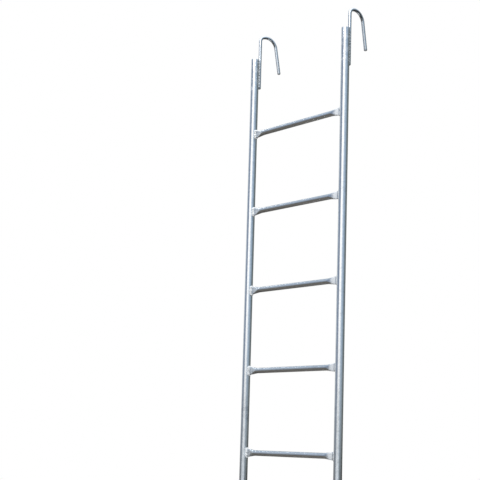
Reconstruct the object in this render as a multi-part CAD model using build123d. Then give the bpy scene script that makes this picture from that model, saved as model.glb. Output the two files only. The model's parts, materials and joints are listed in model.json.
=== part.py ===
from build123d import *
import math
import os

# Rigid hook ladder in galvanised steel: two round stiles, round rungs whose ends are pressed
# flat and welded between them, and a bent round bar welded behind the head of each stile.
# X runs across the ladder, to the right of a person facing it. Y runs from that person
# through the ladder, so the hooks reach towards +Y. Z is up, and the feet are at Z = 0.
# Lengths are in millimetres and angles in degrees.

os.makedirs("parts", exist_ok=True)

# Ladder
RUNG_COUNT = 9
RUNG_PITCH = 300.0  # from one rung's centre to the next
FOOT_LENGTH = 300.0  # stile below the lowest rung's centre
HEAD_LENGTH = 300.0  # stile above the highest rung's centre
CLEAR_WIDTH = 500.0  # between the two stiles

# Tubes
STILE_DIAMETER = 30.0
STILE_WALL = 2.0
RUNG_DIAMETER = 20.0
RUNG_WALL = 2.0

# Rung ends, pressed flat from front and back
PRESSED_GAP = 1.0  # slit left inside the flat
PRESSED_LENGTH = 12.0  # flat stretch beside the stile
FLARE_LENGTH = 42.0  # from the flat stretch to the full round tube

# Fillet weld around each rung end
RUNG_WELD_SPREAD = 4.0  # how far it spreads over the stile, all around the rung end
RUNG_WELD_RUN = 7.0  # how far it runs along the rung
RUNG_WELD_EDGE = 0.6  # thickness where it runs out along the rung

# Hooks
HOOK_DIAMETER = 12.0
HOOK_THROAT = 58.0  # clear width inside the bend, for a 48.3 mm scaffold tube
HOOK_TIGHT_RADIUS = 12.0  # inside the tight first part of the bend, next to the shank
HOOK_TIGHT_TURN = 72.0  # how far the tight part turns
HOOK_CROWN = 83.0  # top of the right hook above the head of its stile
HOOK_SHANK = 217.0  # from the top of a hook down to the end that is welded on
HOOK_DROP = 144.0  # from the top of a hook down to its free tip
HOOK_LEAN = 10.0  # the free leg leans out from straight down
HOOK_CLOCK = 7.0  # each hook is turned in around its stile
HOOK_STEP = 19.0  # the left hook is welded on higher than the right one
HOOK_ROUNDING = 4.5  # rounding of both ends of the bar

# Weld seams along both sides of each hook's shank
SEAM_SIZE = 8.0  # radius of a ball that just touches stile, shank and both weld edges
SEAM_CROWN = 1.2  # height of the weld's rounded face
SEAM_ROOT = 1.2  # radius of the gap that the weld leaves where stile and shank touch
SEAM_BELOW_HEAD = 8.0
SEAM_ABOVE_END = 3.0

# Sizes that follow from those above
stile_radius = STILE_DIAMETER / 2
stile_length = FOOT_LENGTH + (RUNG_COUNT - 1) * RUNG_PITCH + HEAD_LENGTH
stile_x = CLEAR_WIDTH / 2 + stile_radius
pressed_thickness = 2 * RUNG_WALL + PRESSED_GAP
# Pressing keeps the tube's girth, so what the round loses in thickness it gains in height.
pressed_height = math.pi * (RUNG_DIAMETER - pressed_thickness) / 2
flat_x = CLEAR_WIDTH / 2 - PRESSED_LENGTH
round_x = flat_x - FLARE_LENGTH
hook_radius = HOOK_DIAMETER / 2
hook_offset = stile_radius + hook_radius
hook_crown_z = stile_length + HOOK_CROWN
# The bend's centreline turns on the tight radius and then on the wide one, whose centre lies
# behind and below the tight one's.
tight_turn = math.radians(HOOK_TIGHT_TURN)
tight_radius = HOOK_TIGHT_RADIUS + hook_radius
widest = HOOK_THROAT + HOOK_DIAMETER
wide_radius = (widest - tight_radius * (1 - math.cos(tight_turn))) / (1 + math.cos(tight_turn))
wide_y = widest - wide_radius
wide_z = (tight_radius - wide_radius) * math.sin(tight_turn)
bend_height = wide_z + wide_radius


def side_of(name):
    """+1 for the right stile and -1 for the left one."""
    return 1 if name == "right" else -1


def stile_space(side):
    """Everything inside a stile's outer surface, which other pieces are cut to."""
    return Pos(side * stile_x, 0, stile_length / 2) * Cylinder(stile_radius, stile_length)


def stile(side):
    """A plain tube, open at both ends."""
    bore = Cylinder(stile_radius - STILE_WALL, stile_length)
    return stile_space(side) - Pos(side * stile_x, 0, stile_length / 2) * bore


def pressed_section(x, thickness):
    """The obround section of a pressed tube end, upright in a plane across X."""
    height = pressed_height + thickness
    return Plane.YZ.offset(x) * SlotOverall(height, thickness, rotation=90)


def flare(radius, thickness):
    """The change from round to pressed: a flat triangle front and back, half a cone above
    and below."""
    half_thickness = thickness / 2
    half_height = pressed_height / 2
    round_arcs = []
    pressed_edges = []
    faces = []
    for way in (1, -1):
        round_arc = ThreePointArc((round_x, -radius, 0), (round_x, 0, way * radius), (round_x, radius, 0))
        pressed_arc = ThreePointArc(
            (flat_x, -half_thickness, way * half_height),
            (flat_x, 0, way * (half_height + half_thickness)),
            (flat_x, half_thickness, way * half_height),
        )
        tip = (round_x, way * radius, 0)
        upper = (flat_x, way * half_thickness, half_height)
        lower = (flat_x, way * half_thickness, -half_height)
        faces.append(Face.make_surface_from_curves(round_arc, pressed_arc))
        faces.append(Face(Wire.make_polygon([tip, upper, lower])))
        round_arcs.append(round_arc)
        pressed_edges += [pressed_arc, Line(upper, lower)]
    faces.append(Face(Wire(round_arcs)))
    faces.append(Face(Wire(pressed_edges)))
    return Solid(Shell(faces))


def rung_space(wall):
    """The outside of a rung, or with a wall given, the hollow inside it. It runs on into
    both stiles."""
    radius = RUNG_DIAMETER / 2 - wall
    thickness = pressed_thickness - 2 * wall
    end = extrude(pressed_section(flat_x, thickness), PRESSED_LENGTH + stile_radius / 2)
    half = flare(radius, thickness) + end
    middle = Rot(0, 90, 0) * Cylinder(radius, 2 * round_x)
    return middle + half + mirror(half, Plane.YZ)


def rung():
    """A tube with both ends pressed flat and coped to the stiles, centred on the origin."""
    tube = rung_space(0) - rung_space(RUNG_WALL)
    for side in (1, -1):
        tube -= Pos(side * stile_x, 0, 0) * Cylinder(stile_radius, 2 * RUNG_PITCH)
    return tube


def rung_weld(side):
    """The collar of weld metal around one rung end, for a rung centred on the origin."""
    wide_thickness = pressed_thickness + 2 * RUNG_WELD_SPREAD
    # Beside the rung the stile curves away from it, and the weld follows that far.
    fall = stile_radius - math.sqrt(stile_radius**2 - (wide_thickness / 2) ** 2)
    narrow = pressed_section(CLEAR_WIDTH / 2 - RUNG_WELD_RUN, pressed_thickness + 2 * RUNG_WELD_EDGE)
    wide = pressed_section(CLEAR_WIDTH / 2 + fall, wide_thickness)
    collar = loft([narrow, wide], ruled=True) - rung_space(0)
    collar -= Pos(stile_x, 0, 0) * Cylinder(stile_radius, 2 * RUNG_PITCH)
    return collar if side > 0 else mirror(collar, Plane.YZ)


def hook_rise(side):
    """How much higher this hook sits than the right one."""
    return HOOK_STEP if side < 0 else 0.0


def hook_bend_z(side):
    """The height at which this hook's bend starts."""
    return hook_crown_z + hook_rise(side) - hook_radius - bend_height


def hook_turn(side):
    """The turn and the move that bring something made behind an upright axis at the origin
    to this hook's stile."""
    return Pos(side * stile_x, 0, 0) * Rot(0, 0, side * HOOK_CLOCK)


def hook(side):
    """A round bar: straight shank, a bend that is tight and then wide, and a straight leg
    that leans out."""
    lean = math.radians(HOOK_LEAN)
    crown_z = hook_crown_z + hook_rise(side)
    bend_z = hook_bend_z(side)

    def on_tight(turn):
        return Vector(0, tight_radius * (1 - math.cos(turn)), bend_z + tight_radius * math.sin(turn))

    def on_wide(turn):
        return Vector(0, wide_y - wide_radius * math.cos(turn), bend_z + wide_z + wide_radius * math.sin(turn))

    foot = Vector(0, 0, crown_z - HOOK_SHANK)
    bend_end = on_wide(math.pi - lean)
    leg_fall = bend_end.Z - (crown_z - HOOK_DROP)
    tip = bend_end + Vector(0, leg_fall * math.tan(lean), -leg_fall)
    middle_turn = (tight_turn + math.pi - lean) / 2
    tight = ThreePointArc(on_tight(0), on_tight(tight_turn / 2), on_tight(tight_turn))
    wide = ThreePointArc(on_tight(tight_turn), on_wide(middle_turn), bend_end)
    line = Wire([Line(foot, on_tight(0)), tight, wide, Line(bend_end, tip)])
    bar = sweep(Plane(origin=foot, z_dir=(0, 0, 1)) * Circle(hook_radius), path=line)
    ends = bar.faces().filter_by(GeomType.PLANE)
    return hook_turn(side) * Pos(0, hook_offset, 0) * fillet(ends.edges(), HOOK_ROUNDING)


def hook_seam(side, edge):
    """One weld seam in the groove between stile and shank. The edge is +1 for the seam
    that faces away from the ladder's middle, and -1 for the one that faces it."""
    # The weld's edges are where a ball that rests in the groove touches stile and shank.
    to_stile = stile_radius + SEAM_SIZE
    to_shank = hook_radius + SEAM_SIZE
    along = (to_stile**2 - to_shank**2 + hook_offset**2) / (2 * hook_offset)
    ball = Vector(math.sqrt(to_stile**2 - along**2), along)
    shank = Vector(0, hook_offset)
    stile_edge = ball * (stile_radius / to_stile)
    shank_edge = shank + (ball - shank) * (hook_radius / to_shank)
    chord = shank_edge - stile_edge
    outward = Vector(chord.Y, -chord.X).normalized()
    crown = (stile_edge + shank_edge) / 2 + outward * SEAM_CROWN
    face = ThreePointArc(stile_edge, crown, shank_edge)
    outline = Wire(Polyline(shank_edge, shank, (0, 0), stile_edge).edges() + [face])
    section = Face(outline) - Circle(stile_radius) - Pos(0, hook_offset) * Circle(hook_radius)
    section -= Pos(0, stile_radius) * Circle(SEAM_ROOT)
    bottom_z = hook_crown_z + hook_rise(side) - HOOK_SHANK + SEAM_ABOVE_END
    top_z = stile_length - SEAM_BELOW_HEAD
    seam = extrude(section, top_z - bottom_z)
    if edge * side < 0:
        seam = mirror(seam, Plane.YZ)
    return hook_turn(side) * Pos(0, 0, bottom_z) * seam


# Every piece, around the plane of the stiles
pieces = {}
one_rung = rung()
for hand in ("left", "right"):
    hand_side = side_of(hand)
    pieces[f"stile_{hand}"] = stile(hand_side)
    pieces[f"hook_{hand}"] = hook(hand_side)
    pieces[f"weld_hook_{hand}_outer"] = hook_seam(hand_side, 1)
    pieces[f"weld_hook_{hand}_inner"] = hook_seam(hand_side, -1)
    one_weld = rung_weld(hand_side)
    for number in range(1, RUNG_COUNT + 1):
        rung_z = FOOT_LENGTH + (number - 1) * RUNG_PITCH
        pieces[f"weld_rung_{number}_{hand}"] = Pos(0, 0, rung_z) * one_weld
for number in range(1, RUNG_COUNT + 1):
    pieces[f"rung_{number}"] = Pos(0, 0, FOOT_LENGTH + (number - 1) * RUNG_PITCH) * one_rung

# The origin is on the ground under the middle of the whole ladder, hooks included, so the
# stiles stand a little in front of it.
hook_reach = max(pieces[f"hook_{hand}"].bounding_box().max.Y for hand in ("left", "right"))
stile_y = -(hook_reach - stile_radius) / 2
for name, piece in pieces.items():
    export_step(Pos(0, stile_y, 0) * piece, f"parts/{name}.step")
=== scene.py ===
import json
import math
import random

import bmesh
import bpy
from bpy.props import FloatProperty, FloatVectorProperty, IntProperty
from mathutils import Matrix, Quaternion, Vector, noise


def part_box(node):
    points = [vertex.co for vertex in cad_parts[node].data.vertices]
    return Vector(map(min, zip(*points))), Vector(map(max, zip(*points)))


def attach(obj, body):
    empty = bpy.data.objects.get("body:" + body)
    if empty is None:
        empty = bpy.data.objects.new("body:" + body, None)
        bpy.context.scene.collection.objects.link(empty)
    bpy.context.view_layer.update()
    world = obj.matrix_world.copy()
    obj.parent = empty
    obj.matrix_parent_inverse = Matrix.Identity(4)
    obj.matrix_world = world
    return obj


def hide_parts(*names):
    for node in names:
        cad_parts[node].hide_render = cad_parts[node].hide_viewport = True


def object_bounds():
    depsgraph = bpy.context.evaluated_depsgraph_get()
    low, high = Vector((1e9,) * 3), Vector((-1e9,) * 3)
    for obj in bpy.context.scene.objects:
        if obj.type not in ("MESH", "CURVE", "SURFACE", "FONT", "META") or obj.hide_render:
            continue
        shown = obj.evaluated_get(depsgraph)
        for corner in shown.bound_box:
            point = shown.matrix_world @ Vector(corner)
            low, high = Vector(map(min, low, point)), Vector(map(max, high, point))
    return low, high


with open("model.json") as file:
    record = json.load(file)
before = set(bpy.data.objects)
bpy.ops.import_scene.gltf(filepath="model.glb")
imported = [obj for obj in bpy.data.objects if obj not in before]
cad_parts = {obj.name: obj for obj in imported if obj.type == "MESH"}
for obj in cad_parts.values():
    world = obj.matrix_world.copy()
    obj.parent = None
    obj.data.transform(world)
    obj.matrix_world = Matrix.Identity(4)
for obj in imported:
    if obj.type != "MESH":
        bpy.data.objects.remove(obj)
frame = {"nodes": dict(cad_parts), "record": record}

bl_info = {
    "name": "Hook Ladder",
    "version": (1, 0),
    "blender": (4, 5, 0),
    "location": "3D View > Sidebar > Ladder",
    "description": "Builds a welded, galvanised hook ladder around its packed frame",
    "category": "Add Mesh",
}

CAD_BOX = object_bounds()
SIDES = {"left": -1, "right": 1}
MOUNTS = {mount["name"]: mount for mount in frame["record"]["mounts"]}


def centre_of(node):
    low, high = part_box(node)
    return (low + high) / 2


def size_of(node):
    low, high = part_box(node)
    return high - low


# Sizes that the frame fixes, in metres
STILE_RADIUS = size_of("stile_right").x / 2
STILE_BORE = MOUNTS["stile_bore_right"]["dims"]["r_mm"] / 1000
STILE_X = centre_of("stile_right").x
STILE_Y = centre_of("stile_right").y
STILE_LENGTH = size_of("stile_right").z
RUNGS = sorted(name for name in frame["nodes"] if name.startswith("rung_"))
RUNG_RADIUS = size_of(RUNGS[0]).y / 2
PRESSED_HEIGHT = size_of(RUNGS[0]).z
RUNG_PITCH = centre_of("rung_2").z - centre_of("rung_1").z
CLEAR_HALF = STILE_X - STILE_RADIUS


class LadderShape(bpy.types.PropertyGroup):
    pressed_thickness: FloatProperty(
        name="Pressed thickness", description="Thickness of a rung's flattened end",
        default=0.005, unit="LENGTH",
    )
    pressed_length: FloatProperty(
        name="Pressed length", description="Flat stretch of a rung beside the stile",
        default=0.012, unit="LENGTH",
    )
    flare_length: FloatProperty(
        name="Flare length", description="Change from flat to round", default=0.042, unit="LENGTH"
    )
    saw_burr: FloatProperty(
        name="Edge rounding", description="Rounding of the tubes' sawn ends",
        default=0.0004, unit="LENGTH",
    )
    weld_spread: FloatProperty(
        name="Weld spread", description="How far a rung weld spreads over the stile",
        default=0.0042, unit="LENGTH",
    )
    weld_run: FloatProperty(
        name="Weld run", description="How far a rung weld runs along the rung",
        default=0.0072, unit="LENGTH",
    )
    ripple_pitch: FloatProperty(
        name="Ripple pitch", description="Spacing of the ripples in a rung weld",
        default=0.0026, unit="LENGTH",
    )
    ripple_height: FloatProperty(
        name="Ripple height", description="Height of the ripples in the welds",
        default=0.0005, unit="LENGTH",
    )
    seam_ball: FloatProperty(
        name="Seam size", description="Radius of a ball that touches both edges of a hook's seam",
        default=0.008, unit="LENGTH",
    )
    tack_pitch: FloatProperty(
        name="Tack pitch", description="Spacing of the lumps along a hook's seams",
        default=0.0115, unit="LENGTH",
    )
    hook_diameter: FloatProperty(
        name="Hook diameter", description="Diameter of the hooks' round bar",
        default=0.012, unit="LENGTH",
    )
    hook_tight: FloatProperty(
        name="Tight bend", description="Inside radius of the first part of a hook's bend",
        default=0.012, unit="LENGTH",
    )
    hook_tight_turn: FloatProperty(
        name="Tight turn", description="How far the tight part of the bend turns",
        default=math.radians(72), subtype="ANGLE",
    )
    hook_lean: FloatProperty(
        name="Hook lean", description="How far a hook's free leg leans out",
        default=math.radians(10), subtype="ANGLE",
    )
    hook_drop: FloatProperty(
        name="Hook drop", description="From the top of a hook to its free tip",
        default=0.144, unit="LENGTH",
    )
    hook_rounding: FloatProperty(
        name="Hook end rounding", description="Rounding of the bar's ends", default=0.0045, unit="LENGTH"
    )
    tube_sides: IntProperty(name="Tube sides", description="Facets around each tube", default=96, min=16)


class LadderFinish(bpy.types.PropertyGroup):
    zinc: FloatVectorProperty(
        name="Zinc", description="Bright zinc of the tubes", subtype="COLOR", default=(0.74, 0.76, 0.78)
    )
    dull_zinc: FloatVectorProperty(
        name="Dull zinc", description="Weathered patches of zinc",
        subtype="COLOR", default=(0.52, 0.54, 0.56),
    )
    bar_zinc: FloatVectorProperty(
        name="Bar zinc", description="Zinc of the bent hook bars",
        subtype="COLOR", default=(0.68, 0.71, 0.74),
    )
    spray: FloatVectorProperty(
        name="Zinc spray", description="Spray that covers the welds",
        subtype="COLOR", default=(0.85, 0.86, 0.87),
    )
    weld: FloatVectorProperty(
        name="Weld metal", description="Weld beads under fresh zinc",
        subtype="COLOR", default=(0.87, 0.88, 0.88),
    )
    # Painted shade: a near-black colour that the weld material mixes into the deeper valleys of its
    # ripples
    painted_valley_shade: FloatVectorProperty(
        name="Painted weld shade", description="Painted shade in the valleys of the welds",
        subtype="COLOR", default=(0.16, 0.15, 0.14),
    )
    spangle: FloatProperty(
        name="Spangle size", description="Size of the crystals in the zinc", default=0.007, unit="LENGTH"
    )


class LadderStage(bpy.types.PropertyGroup):
    azimuth: FloatProperty(
        name="Azimuth", description="Camera's turn around the ladder",
        default=math.radians(53.73), subtype="ANGLE",
    )
    elevation: FloatProperty(
        name="Elevation", description="Camera's tilt", default=math.radians(-8.76), subtype="ANGLE"
    )
    roll: FloatProperty(
        name="Roll", description="Camera's roll", default=math.radians(1.72), subtype="ANGLE"
    )
    distance: FloatProperty(
        name="Distance", description="Camera to aim point", default=5.009, unit="LENGTH"
    )
    aim_across: FloatProperty(
        name="Aim across", description="Aim point across the ladder", default=-0.330, unit="LENGTH"
    )
    aim_height: FloatProperty(
        name="Aim height", description="Aim point above the ground", default=2.3015, unit="LENGTH"
    )
    lens: FloatProperty(
        name="Lens", description="Focal length in millimetres", default=98.21, unit="CAMERA"
    )
    floor_radius: FloatProperty(
        name="Floor radius", description="Radius of the floor", default=1.3, unit="LENGTH"
    )


# ---------------------------------------------------------------- meshes

SHARP_FROM = math.radians(38)  # edges that turn by more than this are shaded as sharp
CORNER_FROM = math.radians(60)  # edges that turn by more than this are sawn corners
SAME_PLACE = 1e-6  # points nearer than this count as one
TUBE_CUTS = 60  # rows of faces along a stile, so that no face is too long and thin


def finish_piece(name, bm, material, node):
    """Turns a bmesh into a smooth-shaded piece that rides on the ladder and stands in for its node."""
    mesh = bpy.data.meshes.new(name)
    bm.to_mesh(mesh)
    bm.free()
    for face in mesh.polygons:
        face.use_smooth = True
    mesh.set_sharp_from_angle(angle=SHARP_FROM)
    mesh.materials.append(material)
    piece = bpy.data.objects.new(name, mesh)
    bpy.context.scene.collection.objects.link(piece)
    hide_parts(node)
    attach(piece, "root")


def edges_along(edges, axis):
    """The edges that run along one axis."""
    return [e for e in edges if abs((e.verts[0].co - e.verts[1].co).normalized()[axis]) > 0.99]


def add_tube(bm, radius, bore, length, sides, rounding):
    """A hollow tube standing on the ground at the origin, with its sawn edges rounded."""
    middle = Matrix.Translation((0, 0, length / 2))
    for wall_radius in (radius, bore):
        bmesh.ops.create_cone(
            bm, cap_ends=False, segments=sides, radius1=wall_radius, radius2=wall_radius,
            depth=length, matrix=middle,
        )
    for height in (0, length):
        rims = [e for e in bm.edges if all(abs(v.co.z - height) < SAME_PLACE for v in e.verts)]
        bmesh.ops.bridge_loops(bm, edges=rims)
    corners = [e for e in bm.edges if e.calc_face_angle(0) > CORNER_FROM]
    bmesh.ops.bevel(
        bm, geom=corners, offset=rounding, segments=3, profile=0.5, affect="EDGES", material=-1
    )
    lengthwise = [e for e in edges_along(bm.edges, 2) if e.calc_length() > length / 2]
    bmesh.ops.subdivide_edges(bm, edges=lengthwise, cuts=TUBE_CUTS)
    bmesh.ops.recalc_face_normals(bm, faces=bm.faces)


def pressed_share(x, shape):
    """How far a rung is pressed at a place along it: 0 where it is round and 1 where it is flat."""
    from_stile = CLEAR_HALF - abs(x)
    share = 1 - (from_stile - shape.pressed_length) / shape.flare_length
    share = min(max(share, 0), 1)
    soft = 0.16  # share of the slope that is rounded at each end
    if share < soft:
        return share**2 / (2 * soft * (1 - soft))
    if share > 1 - soft:
        return 1 - (1 - share) ** 2 / (2 * soft * (1 - soft))
    return (share - soft / 2) / (1 - soft)


def add_rung(bm, shape):
    """A tube along X whose two ends are pressed flat, centred on the origin."""
    into_stile = 0.0006
    reach = CLEAR_HALF + into_stile
    lengthwise = Matrix.Rotation(math.radians(90), 4, "Y")
    bmesh.ops.create_cone(
        bm, cap_ends=True, segments=shape.tube_sides, radius1=RUNG_RADIUS, radius2=RUNG_RADIUS,
        depth=2 * reach, matrix=lengthwise,
    )
    pressed_from = CLEAR_HALF - shape.pressed_length - shape.flare_length
    end_cuts = 30
    middle_cuts = 6
    stations = [pressed_from + (reach - pressed_from) * step / end_cuts for step in range(end_cuts)]
    stations += [pressed_from * step / middle_cuts for step in range(middle_cuts)]
    for x in sorted({side * station for station in stations for side in SIDES.values()}):
        everything = bm.verts[:] + bm.edges[:] + bm.faces[:]
        bmesh.ops.bisect_plane(bm, geom=everything, plane_co=(x, 0, 0), plane_no=(1, 0, 0))
    flat_half = PRESSED_HEIGHT / 2 - shape.pressed_thickness / 2
    for vert in bm.verts:
        share = pressed_share(vert.co.x, shape)
        squeezed = 1 - share * (1 - shape.pressed_thickness / 2 / RUNG_RADIUS)
        up = 0 if abs(vert.co.z) < SAME_PLACE else math.copysign(1, vert.co.z)
        vert.co.y *= squeezed
        vert.co.z = vert.co.z * squeezed + up * share * flat_half


def stile_surface(y):
    """How far a stile's side falls away from its nearest point, at a place beside its middle."""
    steepest = 0.98  # share of the radius beyond which the side is nearly edge on
    y = min(abs(y), STILE_RADIUS * steepest)
    return STILE_RADIUS - math.sqrt(STILE_RADIUS**2 - y**2)


def around_pressed_end(share, shape):
    """A point on the outline of a pressed end and the direction out of it, in the plane across X."""
    radius = shape.pressed_thickness / 2
    flat = PRESSED_HEIGHT - shape.pressed_thickness
    bend = math.pi * (radius + shape.weld_spread / 2)
    distance = (share % 1) * 2 * (flat + bend)
    half, along = divmod(distance, flat + bend)
    side = 1 if half == 0 else -1
    if along < flat:
        return Vector((0, side * radius, side * (along - flat / 2))), Vector((0, side, 0))
    turn = (along - flat) / bend * math.pi
    outward = Vector((0, side * math.cos(turn), side * math.sin(turn)))
    return Vector((0, 0, side * flat / 2)) + outward * radius, outward


def ripple(steps):
    """The height of a bead's overlapping ripples, from 0 in a valley to 1 on a crest."""
    return 1 - abs(2 * (steps % 1) - 1) ** 1.8


def wrap_grid(bm, along, around, place, closed):
    """A grid whose points are moved by place(share along, share around), with its seams merged
    and any open ends filled. How deep each point lies in a valley is kept with it."""
    valley = bm.verts.layers.float.new("valley")
    points = bmesh.ops.create_grid(bm, x_segments=along, y_segments=around, size=0.5)["verts"]
    for vert in points:
        spot, depth = place(vert.co.x + 0.5, vert.co.y + 0.5)
        vert.co = spot
        # The weld material turns this valley depth into painted shade
        vert[valley] = depth
    bmesh.ops.remove_doubles(bm, verts=points, dist=2 * SAME_PLACE)
    if not closed:
        ends = [e for e in bm.edges if e.is_boundary]
        bmesh.ops.edgeloop_fill(bm, edges=ends)
    bmesh.ops.recalc_face_normals(bm, faces=bm.faces)


def add_rung_weld(bm, side, height, shape, seed):
    """A rippled fillet weld around one pressed rung end."""
    chance = random.Random(seed)
    wander = Vector((chance.uniform(0, 50), chance.uniform(0, 50), chance.uniform(0, 50)))
    start = chance.random()
    flats = 2 * (PRESSED_HEIGHT - shape.pressed_thickness)
    girth = flats + math.pi * (shape.pressed_thickness + shape.weld_spread)
    ripples = round(girth / shape.ripple_pitch)
    visible = 0.7  # share of the bead's outline that can be seen
    sunk = 0.0012  # how far the hidden side lies inside the rung and the stile
    lumps = ((0.28, 150), (0.14, 420))  # the share that each adds, and how many there are per metre

    def place(along, around):
        outline, outward = around_pressed_end(along + start, shape)
        steps = along * ripples
        lump = 1
        for amount, per_metre in lumps:
            lump += amount * noise.noise(wander + outline * per_metre)
        crest = ripple(steps + 0.3 * math.sin(around * math.pi))
        swell = 0.92 + 0.1 * crest
        spread = shape.weld_spread * lump * swell
        run = shape.weld_run * lump * swell
        if around < visible:
            angle = around / visible * math.pi / 2
            ridge = 0.10 + 0.6 * shape.ripple_height / shape.weld_spread * crest
            fat = 1 + ridge * math.sin(2 * angle)
            out = spread * math.cos(angle) ** 0.85 * fat
            away = run * math.sin(angle) ** 0.85 * fat
        else:
            # Back along the hidden side: into the rung, into the stile, and out to the toe again
            corners = [(0, run), (-sunk, run), (-sunk, -sunk), (spread, -sunk), (spread, 0)]
            back = (around - visible) / (1 - visible) * (len(corners) - 1)
            corner = min(int(back), len(corners) - 2)
            out, away = Vector(corners[corner]).lerp(Vector(corners[corner + 1]), back - corner)
        point = outline + outward * out
        fall = stile_surface(point.y)
        x = side * (CLEAR_HALF + fall - away)
        depth = (1 - crest) * (0.6 + 0.4 * math.sin(math.pi * min(around / visible, 1)))
        return Vector((x, STILE_Y + point.y, height + point.z)), depth

    wrap_grid(bm, ripples * 5, 22, place, closed=True)


def hook_line(side_name, shape):
    """The middle of a hook's shank at its lower end, and the level direction that it reaches in."""
    stile = Vector((SIDES[side_name] * STILE_X, STILE_Y, 0))
    seat = Vector(MOUNTS[f"hook_seat_{side_name}"]["pos_m"])
    reach = Vector((seat.x - stile.x, seat.y - stile.y, 0)).normalized()
    foot = stile + reach * (STILE_RADIUS + shape.hook_diameter / 2)
    foot.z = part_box(f"hook_{side_name}")[0].z
    return foot, reach


class Bar:
    """A bar that grows from a round end face by being drawn out and spun."""

    def __init__(self, bm, foot, radius):
        self.bm = bm
        place = Matrix.Translation(foot)
        bmesh.ops.create_circle(bm, cap_ends=True, segments=48, radius=radius, matrix=place)
        self.first = bm.faces[:]
        self.end = self.first

    def keep_end(self, grown):
        """Removes the face that the bar has grown past and keeps the new one at its end."""
        if self.end is not self.first:
            bmesh.ops.delete(self.bm, geom=self.end, context="FACES_ONLY")
        self.end = [part for part in grown if isinstance(part, bmesh.types.BMFace)]

    def draw_out(self, move, steps):
        for _ in range(steps):
            grown = bmesh.ops.extrude_face_region(self.bm, geom=self.end, use_keep_orig=True)["geom"]
            verts = [part for part in grown if isinstance(part, bmesh.types.BMVert)]
            bmesh.ops.translate(self.bm, verts=verts, vec=move / steps)
            self.keep_end(grown)

    def bend(self, centre, axis, angle, steps):
        spun = bmesh.ops.spin(self.bm, geom=self.end, cent=centre, axis=axis, angle=angle, steps=steps)
        self.keep_end(spun["geom_last"])


def add_hook(bm, side_name, shape):
    """A round bar: straight shank, a bend that is tight and then wide, and a leg that leans out."""
    radius = shape.hook_diameter / 2
    foot, reach = hook_line(side_name, shape)
    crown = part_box(f"hook_{side_name}")[1].z
    seat = Vector(MOUNTS[f"hook_seat_{side_name}"]["pos_m"])
    turn = shape.hook_tight_turn
    tight = shape.hook_tight + radius
    # The top of the bend lies straight above the wide part's centre
    wide_out = Vector((seat.x - foot.x, seat.y - foot.y, 0)).length
    wide = tight + (wide_out - tight) / math.cos(turn)
    start = crown - radius - wide + (wide - tight) * math.sin(turn)
    tight_centre = Vector((foot.x, foot.y, start)) + reach * tight
    wide_centre = Vector((seat.x, seat.y, crown - radius - wide))
    axis = reach.cross(Vector((0, 0, 1)))
    bar = Bar(bm, foot, radius)
    bar.draw_out(Vector((0, 0, start - foot.z)), 8)
    bar.bend(tight_centre, axis, -turn, 24)
    bar.bend(wide_centre, axis, -(math.pi - shape.hook_lean - turn), 40)
    fall = wide_centre.z + wide * math.sin(shape.hook_lean) - (crown - shape.hook_drop)
    bar.draw_out(reach * (fall * math.tan(shape.hook_lean)) - Vector((0, 0, fall)), 8)
    bmesh.ops.remove_doubles(bm, verts=bm.verts, dist=SAME_PLACE)
    rims = [e for e in bm.edges if e.calc_face_angle(0) > CORNER_FROM]
    bmesh.ops.bevel(
        bm, geom=rims, offset=shape.hook_rounding, segments=8, profile=0.5, affect="EDGES", material=-1
    )
    bmesh.ops.recalc_face_normals(bm, faces=bm.faces)


def add_hook_seam(bm, side_name, edge, shape, seed):
    """A lumpy weld seam in the groove between a stile and its hook's shank."""
    side = SIDES[side_name]
    node = f"weld_hook_{side_name}_{edge}"
    low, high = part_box(node)
    hook_radius = shape.hook_diameter / 2
    stile = Vector((side * STILE_X, STILE_Y, 0))
    shank, spine = hook_line(side_name, shape)
    shank.z = 0
    flank = Vector((spine.y, -spine.x, 0)) * side
    if edge == "inner":
        flank = -flank
    # The weld's edges are where a ball that rests in the groove touches stile and shank
    reach = STILE_RADIUS + hook_radius
    to_stile = STILE_RADIUS + shape.seam_ball
    to_shank = hook_radius + shape.seam_ball
    along_spine = (to_stile**2 - to_shank**2 + reach**2) / (2 * reach)
    resting = stile + spine * along_spine + flank * math.sqrt(to_stile**2 - along_spine**2)
    stile_toe = stile + (resting - stile) * (STILE_RADIUS / to_stile)
    shank_toe = shank + (resting - shank) * (hook_radius / to_shank)
    root = stile + spine * STILE_RADIUS
    chance = random.Random(seed)
    wander = Vector((chance.uniform(0, 50), chance.uniform(0, 50), 0))
    length = high.z - low.z
    tacks = length / shape.tack_pitch
    visible = 0.72  # share of the seam's outline that can be seen
    run_out = 0.004  # length over which the seam dies away at each end
    row_height = 0.0006
    thickness, tack_height = 0.0010, 0.0006
    lumps_per_metre = 90

    def place(along, around):
        z = low.z + along * length
        drift = wander + Vector((0, 0, z * lumps_per_metre))
        tack = ripple(along * tacks + 0.25 * noise.noise(drift))
        fine = ripple(along * length / (shape.ripple_pitch * 1.1) + 0.35 * math.sin(around * math.pi))
        end = min(1, (min(along, 1 - along) * length / run_out)) ** 0.5
        girth = end * (0.86 + 0.14 * tack + 0.08 * noise.noise(drift * 2.3))
        if around < visible:
            share = around / visible
            toe = stile_toe.lerp(shank_toe, share)
            bulge = math.sin(share * math.pi) ** 0.8
            lift = (thickness + tack_height * tack + shape.ripple_height * 0.6 * fine) * bulge * end
            edge_point = root.lerp(toe, girth) + (resting - root).normalized() * lift
        else:
            share = (around - visible) / (1 - visible)
            inside_shank = shank_toe.lerp(shank, 0.25)
            inside_stile = stile_toe.lerp(stile, 0.1)
            toe = inside_shank.lerp(inside_stile, share)
            edge_point = root.lerp(toe, girth)
        depth = max(1 - tack, 1 - fine) * 0.7
        return Vector((edge_point.x, edge_point.y, z)), depth

    wrap_grid(bm, round(length / row_height), 20, place, closed=False)


# ---------------------------------------------------------------- materials

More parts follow.
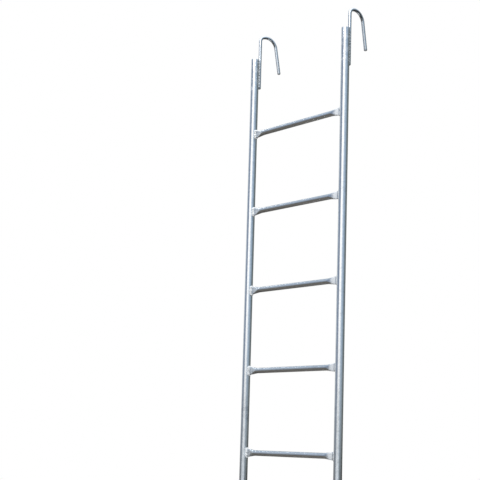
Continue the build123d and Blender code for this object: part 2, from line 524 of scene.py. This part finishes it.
# Streaks of zinc per metre along X, Y and Z: many across a piece and few along it
STILE_STREAKS = (260.0, 260.0, 5.0)
RUNG_STREAKS = (5.0, 260.0, 260.0)
HOOK_STREAKS = (200.0, 200.0, 12.0)

# Zinc sprayed at the rungs' ends: how far it reaches from the weld, the strip beside the weld that it
# leaves bare (none below zero), and the share of it that the ladder's left half gets
STILE_SPRAY = {"Reach": 0.004, "Bare": -0.01, "Left_Share": 1.0}
RUNG_SPRAY = {"Reach": 0.040, "Bare": 0.014, "Left_Share": 0.3}

# Blotches of spray near the stiles' heads: how far down they start and end, and how thick they are
BLOTCHES_FROM = 0.012
BLOTCHES_TO = 0.125
BLOTCH_SHARE = 0.4


class Nodes:
    """Short calls that add nodes to one tree. A value may be a constant or the socket to join."""

    def __init__(self, tree):
        self.tree = tree

    def join(self, value, socket):
        self.tree.links.new(value, socket)

    def add(self, kind, **inputs):
        """A new node. A word is the name of an input, i0 is its first input, and a word after set_
        is one of its properties."""
        node = self.tree.nodes.new("ShaderNode" + kind)
        for key, value in inputs.items():
            if key.startswith("set_"):
                setattr(node, key[4:], value)
                continue
            by_number = key[0] == "i" and key[1:].isdigit()
            socket = node.inputs[int(key[1:]) if by_number else key.replace("_", " ")]
            if isinstance(value, bpy.types.NodeSocket):
                self.join(value, socket)
            else:
                socket.default_value = value
        return node

    def calc(self, operation, *values):
        inputs = {f"i{place}": value for place, value in enumerate(values)}
        return self.add("Math", set_operation=operation, **inputs).outputs[0]

    def plus(self, base, value, amount):
        """The base with some amount of a value added."""
        return self.calc("MULTIPLY_ADD", value, amount, base)

    def calc_vector(self, operation, *values):
        inputs = {f"i{place}": value for place, value in enumerate(values)}
        return self.add("VectorMath", set_operation=operation, **inputs).outputs[0]

    def brighten(self, colour, amount):
        return self.add("VectorMath", set_operation="SCALE", i0=colour, Scale=amount).outputs[0]

    def ramp(self, value, low, high, start=0.0, end=1.0, kind="LINEAR"):
        """Start below the low value and end above the high one, with a slope between them."""
        return self.add(
            "MapRange", set_interpolation_type=kind, Value=value, From_Min=low, From_Max=high,
            To_Min=start, To_Max=end,
        ).outputs[0]

    def soft_ramp(self, value, low, high, start=0.0, end=1.0):
        return self.ramp(value, low, high, start, end, kind="SMOOTHSTEP")

    def mix(self, share, below, above):
        return self.add("Mix", set_data_type="RGBA", i0=share, i6=below, i7=above).outputs[2]

    def noise(self, place, scale, detail, roughness=0.5):
        texture = self.add("TexNoise", Vector=place, Scale=scale, Detail=detail, Roughness=roughness)
        return texture.outputs["Fac"]

    def channel(self, colour, number):
        return self.add("SeparateColor", Color=colour).outputs[number]

    def place(self):
        """The place on the piece, in metres from the foot of the ladder."""
        return self.add("TexCoord").outputs["Object"]


def new_group(name, inputs, outputs):
    """A shader node group with its sockets made: its nodes, what it is given and what it puts out."""
    group = bpy.data.node_groups.new(name, "ShaderNodeTree")
    for label, kind, value in inputs:
        socket = group.interface.new_socket(name=label, in_out="INPUT", socket_type=kind)
        socket.default_value = value
    for label, kind in outputs:
        group.interface.new_socket(name=label, in_out="OUTPUT", socket_type=kind)
    given = group.nodes.new("NodeGroupInput").outputs
    out = group.nodes.new("NodeGroupOutput").inputs
    return Nodes(group), given, out


def zinc_skin_group():
    """Hot-dip zinc: faint crystals, streaks along the tube, dull patches, specks, and zinc spray."""
    nodes, given, out = new_group(
        "Zinc Skin",
        [
            ("Zinc", "NodeSocketColor", (0.66, 0.69, 0.73, 1)),
            ("Dull Zinc", "NodeSocketColor", (0.4, 0.42, 0.44, 1)),
            ("Spray", "NodeSocketColor", (0.62, 0.63, 0.63, 1)),
            ("Crystals Per Metre", "NodeSocketFloat", 140.0),
            ("Streak Scale", "NodeSocketVector", (260.0, 260.0, 5.0)),
            ("Dulling", "NodeSocketFloat", 0.6),
            ("Shine", "NodeSocketFloat", 0.2),
            ("Sprayed", "NodeSocketFloat", 0.0),
        ],
        [
            ("Colour", "NodeSocketColor"),
            ("Roughness", "NodeSocketFloat"),
            ("Metal", "NodeSocketFloat"),
            ("Height", "NodeSocketFloat"),
        ],
    )
    place = nodes.place()
    warp = nodes.add("TexNoise", Vector=place, Scale=90.0, Detail=2.0).outputs["Color"]
    bent = nodes.calc_vector("MULTIPLY_ADD", warp, (0.006, 0.006, 0.006), place)
    crystals = nodes.add("TexVoronoi", Vector=bent, Scale=given["Crystals Per Metre"])
    crystal = nodes.channel(crystals.outputs["Color"], 0)
    stretched = nodes.calc_vector("MULTIPLY", place, given["Streak Scale"])
    streak = nodes.noise(stretched, 1.0, 4.0)
    mottle = nodes.noise(place, 55.0, 4.0, 0.7)
    patches = nodes.noise(place, 9.0, 5.0, 0.65)
    patch = nodes.soft_ramp(nodes.plus(patches, mottle, 0.35), 0.76, 0.90)
    specks = nodes.add("TexVoronoi", Vector=place, Scale=330.0)
    spot = nodes.soft_ramp(specks.outputs["Distance"], 0.18, 0.34, 1.0, 0.0)
    chosen = nodes.soft_ramp(nodes.channel(specks.outputs["Color"], 1), 0.955, 0.965)
    speck = nodes.calc("MULTIPLY", spot, chosen)
    grain = nodes.noise(place, 700.0, 3.0)
    mist = nodes.calc("MULTIPLY", nodes.soft_ramp(grain, 0.25, 0.6, 0.8, 1.0), given["Sprayed"])

    crystal_light = nodes.soft_ramp(crystal, 0.0, 1.0, 0.95, 1.05)
    streak_light = nodes.soft_ramp(streak, 0.3, 0.7, 0.95, 1.04)
    bright = nodes.brighten(given["Zinc"], nodes.calc("MULTIPLY", crystal_light, streak_light))
    dulled = nodes.mix(nodes.calc("MULTIPLY", patch, given["Dulling"]), bright, given["Dull Zinc"])
    specked = nodes.mix(speck, dulled, (0.33, 0.33, 0.32, 1))
    nodes.join(nodes.mix(mist, specked, given["Spray"]), out["Colour"])

    rough = given["Shine"]
    for value, amount in ((crystal, 0.05), (streak, 0.08), (patch, 0.16), (speck, 0.3), (mist, 0.26)):
        rough = nodes.plus(rough, value, amount)
    nodes.join(rough, out["Roughness"])
    nodes.join(nodes.soft_ramp(mist, 0.0, 1.0, 1.0, 0.2), out["Metal"])
    relief = nodes.calc("MULTIPLY", mottle, 1.2)
    sprayed_grain = nodes.calc("MULTIPLY", grain, mist)
    for value, amount in ((streak, 0.35), (crystal, 0.12), (speck, 0.9), (sprayed_grain, 0.3)):
        relief = nodes.plus(relief, value, amount)
    nodes.join(relief, out["Height"])


def weld_reach_group():
    """A mask that fades away from each rung end's weld with a ragged edge, and may leave a bare strip
    beside the weld."""
    nodes, given, out = new_group(
        "Weld Reach",
        [
            ("Reach", "NodeSocketFloat", 0.03),
            ("Bare", "NodeSocketFloat", 0.0),
            ("Left Share", "NodeSocketFloat", 1.0),
        ],
        [("Mask", "NodeSocketFloat")],
    )
    place = nodes.place()
    parts = nodes.add("SeparateXYZ", Vector=place).outputs
    rise = nodes.calc("PINGPONG", parts["Z"], RUNG_PITCH / 2)
    inset = nodes.calc("SUBTRACT", nodes.calc("ABSOLUTE", parts["X"]), CLEAR_HALF)
    sideways = nodes.calc("ABSOLUTE", inset)
    gap = nodes.add("CombineXYZ", X=sideways, Z=rise).outputs[0]
    far = nodes.add("VectorMath", set_operation="LENGTH", i0=gap).outputs["Value"]
    ragged = nodes.noise(place, 130.0, 4.0)
    start = nodes.calc("MULTIPLY", given["Reach"], 0.75)
    end = nodes.calc("ADD", given["Reach"], 0.012)
    mask = nodes.soft_ramp(nodes.plus(far, ragged, 0.014), start, end, 1.0, 0.0)
    past_bare = nodes.calc("SUBTRACT", nodes.plus(sideways, ragged, 0.006), given["Bare"])
    clear_of_bare = nodes.ramp(past_bare, 0.0, 0.003)
    side_share = nodes.ramp(parts["X"], -0.01, 0.01, given["Left Share"], 1.0)
    kept = nodes.calc("MULTIPLY", clear_of_bare, side_share)
    nodes.join(nodes.calc("MULTIPLY", mask, kept), out["Mask"])


def touch_up_group():
    """A mask of ragged blotches of zinc spray between two heights."""
    nodes, given, out = new_group(
        "Touch-up",
        [("Lowest", "NodeSocketFloat", 2.87), ("Highest", "NodeSocketFloat", 2.99)],
        [("Mask", "NodeSocketFloat")],
    )
    place = nodes.place()
    height = nodes.add("SeparateXYZ", Vector=place).outputs["Z"]
    patchy = nodes.soft_ramp(nodes.noise(place, 48.0, 5.0, 0.6), 0.50, 0.56)
    above = nodes.calc("GREATER_THAN", height, given["Lowest"])
    below = nodes.calc("LESS_THAN", height, given["Highest"])
    inside = nodes.calc("MULTIPLY", above, below)
    nodes.join(nodes.calc("MULTIPLY", inside, patchy), out["Mask"])


def shader_base(name, metallic=1.0):
    """A new material with its shader and the calls that add nodes to it."""
    material = bpy.data.materials.new(name)
    material.use_nodes = True
    shader = material.node_tree.nodes["Principled BSDF"]
    shader.inputs["Metallic"].default_value = metallic
    return material, shader.inputs, Nodes(material.node_tree)


def zinc_material(name, zinc, streaks, shine, dulling, bump=0.000012, spray=None):
    """Galvanised steel with streaks along the piece and, where a spray is given, zinc sprayed beside
    the rungs' welds and in blotches near the stiles' heads."""
    finish = bpy.context.scene.ladder_finish
    material, shader, nodes = shader_base(name)
    groups = bpy.data.node_groups
    skin = nodes.add(
        "Group", set_node_tree=groups["Zinc Skin"], Zinc=(*zinc, 1), Dull_Zinc=(*finish.dull_zinc, 1),
        Spray=(*finish.spray, 1), Crystals_Per_Metre=1 / finish.spangle, Streak_Scale=streaks,
        Shine=shine, Dulling=dulling,
    )
    if spray:
        near = nodes.add("Group", set_node_tree=groups["Weld Reach"], **spray)
        head = nodes.add(
            "Group", set_node_tree=groups["Touch-up"], Lowest=STILE_LENGTH - BLOTCHES_TO,
            Highest=STILE_LENGTH - BLOTCHES_FROM,
        )
        thin = nodes.calc("MULTIPLY", head.outputs["Mask"], BLOTCH_SHARE)
        either = nodes.calc("MAXIMUM", near.outputs["Mask"], thin)
        nodes.join(either, skin.inputs["Sprayed"])
        nodes.join(skin.outputs["Metal"], shader["Metallic"])
    relief = nodes.add("Bump", Height=skin.outputs["Height"], Strength=1.0, Distance=bump)
    nodes.join(skin.outputs["Colour"], shader["Base Color"])
    nodes.join(skin.outputs["Roughness"], shader["Roughness"])
    nodes.join(relief.outputs[0], shader["Normal"])
    return material


def weld_material(name):
    """Weld metal under bright zinc spray, with painted shade that darkens its valleys, the deeper the
    darker.
    """
    finish = bpy.context.scene.ladder_finish
    material, shader, nodes = shader_base(name, metallic=0.15)
    place = nodes.place()
    valley = nodes.add("Attribute", set_attribute_name="valley").outputs["Fac"]
    blotch = nodes.noise(place, 260.0, 4.0, 0.7)
    grain = nodes.noise(place, 1500.0, 3.0)
    # Painted shade: the deeper a point lies in a ripple's valley, the more of the dark valley colour is
    # mixed in, broken up by the blotches
    valley_shade_share = nodes.soft_ramp(nodes.calc("MULTIPLY", valley, blotch), 0.15, 0.6, 0.0, 0.5)
    lit = nodes.brighten((*finish.weld,), nodes.ramp(blotch, 0.3, 0.7, 0.96, 1.04))
    height = nodes.plus(blotch, grain, 0.3)
    relief = nodes.add("Bump", Height=height, Strength=0.5, Distance=0.00005)
    nodes.join(nodes.mix(valley_shade_share, lit, (*finish.painted_valley_shade, 1)), shader["Base Color"])
    nodes.join(nodes.ramp(blotch, 0.3, 0.7, 0.26, 0.5), shader["Roughness"])
    nodes.join(relief.outputs[0], shader["Normal"])
    return material


def material_named(name):
    """Each finish is made once, the first time that a piece asks for it."""
    if name in bpy.data.materials:
        return bpy.data.materials[name]
    finish = bpy.context.scene.ladder_finish
    if "Zinc Skin" not in bpy.data.node_groups:
        zinc_skin_group()
        weld_reach_group()
        touch_up_group()
    if name == "Stile Zinc":
        return zinc_material(name, finish.zinc, STILE_STREAKS, shine=0.10, dulling=0.65, spray=STILE_SPRAY)
    if name == "Rung Zinc":
        return zinc_material(name, finish.zinc, RUNG_STREAKS, shine=0.10, dulling=0.5, spray=RUNG_SPRAY)
    if name == "Hook Zinc":
        return zinc_material(name, finish.bar_zinc, HOOK_STREAKS, shine=0.18, dulling=0.15, bump=0.000006)
    return weld_material(name)


# ---------------------------------------------------------------- operators

class LADDER_OT_stiles(bpy.types.Operator):
    """Make the two stile tubes"""

    bl_idname = "ladder.stiles"
    bl_label = "Stiles"

    def execute(self, context):
        shape = context.scene.ladder_shape
        for side_name, side in SIDES.items():
            bm = bmesh.new()
            add_tube(bm, STILE_RADIUS, STILE_BORE, STILE_LENGTH, shape.tube_sides, shape.saw_burr)
            bmesh.ops.translate(bm, verts=bm.verts, vec=(side * STILE_X, STILE_Y, 0))
            node = f"stile_{side_name}"
            finish_piece(f"stile_tube_{side_name}", bm, material_named("Stile Zinc"), node)
        return {"FINISHED"}


class LADDER_OT_rungs(bpy.types.Operator):
    """Make the rungs with their pressed ends"""

    bl_idname = "ladder.rungs"
    bl_label = "Rungs"

    def execute(self, context):
        for node in RUNGS:
            bm = bmesh.new()
            add_rung(bm, context.scene.ladder_shape)
            bmesh.ops.translate(bm, verts=bm.verts, vec=(0, STILE_Y, centre_of(node).z))
            finish_piece(f"{node}_tube", bm, material_named("Rung Zinc"), node)
        return {"FINISHED"}


class LADDER_OT_hooks(bpy.types.Operator):
    """Make the two bent hook bars"""

    bl_idname = "ladder.hooks"
    bl_label = "Hooks"

    def execute(self, context):
        for side_name in SIDES:
            bm = bmesh.new()
            add_hook(bm, side_name, context.scene.ladder_shape)
            node = f"hook_{side_name}"
            finish_piece(f"hook_bar_{side_name}", bm, material_named("Hook Zinc"), node)
        return {"FINISHED"}


class LADDER_OT_rung_welds(bpy.types.Operator):
    """Make the weld bead around every rung end"""

    bl_idname = "ladder.rung_welds"
    bl_label = "Rung Welds"

    def execute(self, context):
        for node in RUNGS:
            height = centre_of(node).z
            for side_name, side in SIDES.items():
                bm = bmesh.new()
                name = f"weld_{node}_{side_name}"
                add_rung_weld(bm, side, height, context.scene.ladder_shape, name)
                finish_piece(f"{name}_bead", bm, material_named("Weld Metal"), name)
        return {"FINISHED"}


class LADDER_OT_hook_welds(bpy.types.Operator):
    """Make the weld seams along the hooks' shanks"""

    bl_idname = "ladder.hook_welds"
    bl_label = "Hook Welds"

    def execute(self, context):
        for side_name in SIDES:
            for edge in ("inner", "outer"):
                bm = bmesh.new()
                name = f"weld_hook_{side_name}_{edge}"
                add_hook_seam(bm, side_name, edge, context.scene.ladder_shape, name)
                finish_piece(f"{name}_seam", bm, material_named("Weld Metal"), name)
        return {"FINISHED"}


# What stands around the ladder: headings in degrees anticlockwise from +X, each with the colour just
# above the horizon and the colour higher up
SURROUNDINGS = [
    (-180, (0.36, 0.40, 0.44), (0.70, 0.78, 0.86)),
    (-156, (0.34, 0.37, 0.40), (0.58, 0.64, 0.70)),
    (-138, (0.30, 0.33, 0.36), (0.27, 0.33, 0.44)),
    (-100, (0.28, 0.31, 0.34), (0.27, 0.33, 0.44)),
    (-82, (0.42, 0.45, 0.47), (1.45, 1.45, 1.45)),
    (-46, (0.42, 0.45, 0.47), (1.45, 1.45, 1.45)),
    (-30, (0.42, 0.46, 0.48), (0.66, 0.78, 0.92)),
    (18, (0.41, 0.45, 0.45), (0.35, 0.47, 0.61)),
    (44, (0.34, 0.36, 0.36), (0.19, 0.225, 0.235)),
    (66, (0.13, 0.14, 0.135), (0.17, 0.20, 0.21)),
    (118, (0.13, 0.14, 0.13), (0.16, 0.175, 0.17)),
    (150, (0.24, 0.26, 0.26), (0.28, 0.31, 0.33)),
    (180, (0.36, 0.40, 0.44), (0.70, 0.78, 0.86)),
]
SKY = (0.54, 0.65, 0.79, 1)
OVERHEAD = (1.6, 1.65, 1.7, 1)
DRY_GROUND = (0.17, 0.16, 0.145, 1)
DARK_GROUND = (0.035, 0.036, 0.036, 1)
LIT_GROUND = (0.85, 0.92, 0.98, 1)
WHITE = (1, 1, 1, 1)


def surroundings(world):
    """What the zinc mirrors: a bright front, cool open sides, a darker far side, sky above and ground
    below. The camera itself sees plain white behind the ladder."""
    world.use_nodes = True
    tree = world.node_tree
    tree.nodes.clear()
    nodes = Nodes(tree)
    heading = nodes.add("TexCoord").outputs["Generated"]
    across, along, height = nodes.add("SeparateXYZ", Vector=heading).outputs
    turn = nodes.plus(0.5, nodes.calc("ARCTAN2", along, across), 0.5 / math.pi)

    def ring(column):
        colours = nodes.add("ValToRGB", Fac=turn)
        elements = colours.color_ramp.elements
        while len(elements) < len(SURROUNDINGS):
            elements.new(0.5)
        for element, stop in zip(elements, SURROUNDINGS):
            element.position = (stop[0] + 180) / 360
            element.color = (*stop[column], 1)
        return colours.outputs[0]

    def blend(low, high, below, above):
        return nodes.mix(nodes.soft_ramp(height, low, high), below, above)

    around = blend(-0.03, 0.10, ring(1), ring(2))
    sky = blend(0.38, 0.60, around, SKY)
    zenith = blend(0.70, 0.88, sky, OVERHEAD)
    ground = nodes.mix(nodes.ramp(across, -0.75, 0.1), DRY_GROUND, DARK_GROUND)
    in_front = nodes.calc("MULTIPLY", nodes.ramp(across, -0.5, 0.0), nodes.ramp(along, -0.1, -0.5))
    far_ground = nodes.mix(in_front, ground, LIT_GROUND)
    below = blend(-0.26, -0.08, ground, far_ground)
    all_round = blend(-0.05, 0.01, below, zenith)
    mirrored = nodes.add("Background", Color=all_round, Strength=1.0).outputs[0]
    plain = nodes.add("Background", Color=WHITE, Strength=1.0).outputs[0]
    seen = nodes.add("LightPath").outputs["Is Camera Ray"]
    both = nodes.add("MixShader", i0=seen, i1=mirrored, i2=plain).outputs[0]
    nodes.join(both, nodes.add("OutputWorld").inputs["Surface"])


def soft_light(name, spot, aim, size, power, colour):
    """A large area light pointed at the ladder."""
    data = bpy.data.lights.new(name, "AREA")
    data.shape = "RECTANGLE"
    data.size, data.size_y = size
    data.energy = power
    data.color = colour
    lamp = bpy.data.objects.new(name, data)
    lamp.location = spot
    lamp.rotation_euler = (Vector(aim) - Vector(spot)).to_track_quat("-Z", "Y").to_euler()
    bpy.context.scene.collection.objects.link(lamp)


class LADDER_OT_stage(bpy.types.Operator):
    """Make the floor, the light and the camera"""

    bl_idname = "ladder.stage"
    bl_label = "Stage"

    def execute(self, context):
        scene = context.scene
        stage = scene.ladder_stage
        self.floor(stage)
        scene.world = bpy.data.worlds.new("Surroundings")
        surroundings(scene.world)
        scene.view_settings.view_transform = "Standard"
        middle = (0, 0, STILE_LENGTH / 2)
        soft_light(
            "Front Softbox", spot=(1.3, -3.0, 5.4), aim=middle, size=(2.0, 2.0), power=120.0,
            colour=(1.0, 0.99, 0.97),
        )
        self.camera(scene, stage)
        return {"FINISHED"}

    def floor(self, stage):
        bm = bmesh.new()
        bmesh.ops.create_circle(bm, cap_ends=True, segments=96, radius=stage.floor_radius)
        bmesh.ops.translate(bm, verts=bm.verts, vec=(0, 0, CAD_BOX[0][2]))
        mesh = bpy.data.meshes.new("floor")
        bm.to_mesh(mesh)
        bm.free()
        floor = bpy.data.objects.new("floor", mesh)
        bpy.context.scene.collection.objects.link(floor)
        material, shader, nodes = shader_base("Pale Floor", metallic=0.0)
        mottle = nodes.noise(nodes.place(), scale=3.0, detail=6.0)
        tone = nodes.ramp(mottle, 0.0, 1.0, start=0.60, end=0.66)
        nodes.join(tone, shader["Base Color"])
        shader["Roughness"].default_value = 0.8
        mesh.materials.append(material)

    def camera(self, scene, stage):
        aim = Vector((stage.aim_across, STILE_Y, stage.aim_height))
        back = Vector((
            math.sin(stage.azimuth) * math.cos(stage.elevation),
            -math.cos(stage.azimuth) * math.cos(stage.elevation),
            math.sin(stage.elevation),
        ))
        data = bpy.data.cameras.new("Camera")
        data.lens = stage.lens
        data.sensor_width = 36.0
        camera = bpy.data.objects.new("Camera", data)
        camera.location = aim + back * stage.distance
        facing = (-back).to_track_quat("-Z", "Y") @ Quaternion((0, 0, 1), stage.roll)
        camera.rotation_euler = facing.to_euler()
        scene.collection.objects.link(camera)
        scene.camera = camera


OPERATORS = [
    LADDER_OT_stage,
    LADDER_OT_stiles,
    LADDER_OT_rungs,
    LADDER_OT_hooks,
    LADDER_OT_rung_welds,
    LADDER_OT_hook_welds,
]
GROUPS = {"ladder_shape": LadderShape, "ladder_finish": LadderFinish, "ladder_stage": LadderStage}


class LADDER_PT_panel(bpy.types.Panel):
    """The ladder's pieces and its stage"""

    bl_idname = "LADDER_PT_panel"
    bl_label = "Hook Ladder"
    bl_space_type = "VIEW_3D"
    bl_region_type = "UI"
    bl_category = "Ladder"

    def draw(self, context):
        column = self.layout.column(align=True)
        for operator in OPERATORS:
            column.operator(operator.bl_idname)
        for group_name, group in GROUPS.items():
            for key in group.__annotations__:
                self.layout.prop(getattr(context.scene, group_name), key)


def register():
    for cls in [*GROUPS.values(), *OPERATORS, LADDER_PT_panel]:
        bpy.utils.register_class(cls)
    for key, group in GROUPS.items():
        setattr(bpy.types.Scene, key, bpy.props.PointerProperty(type=group))


def unregister():
    for key in GROUPS:
        delattr(bpy.types.Scene, key)
    for cls in reversed([*GROUPS.values(), *OPERATORS, LADDER_PT_panel]):
        bpy.utils.unregister_class(cls)


def main():
    register()
    for operator in OPERATORS:
        group, call = operator.bl_idname.split(".")
        getattr(getattr(bpy.ops, group), call)()


if __name__ == "__main__":
    main()
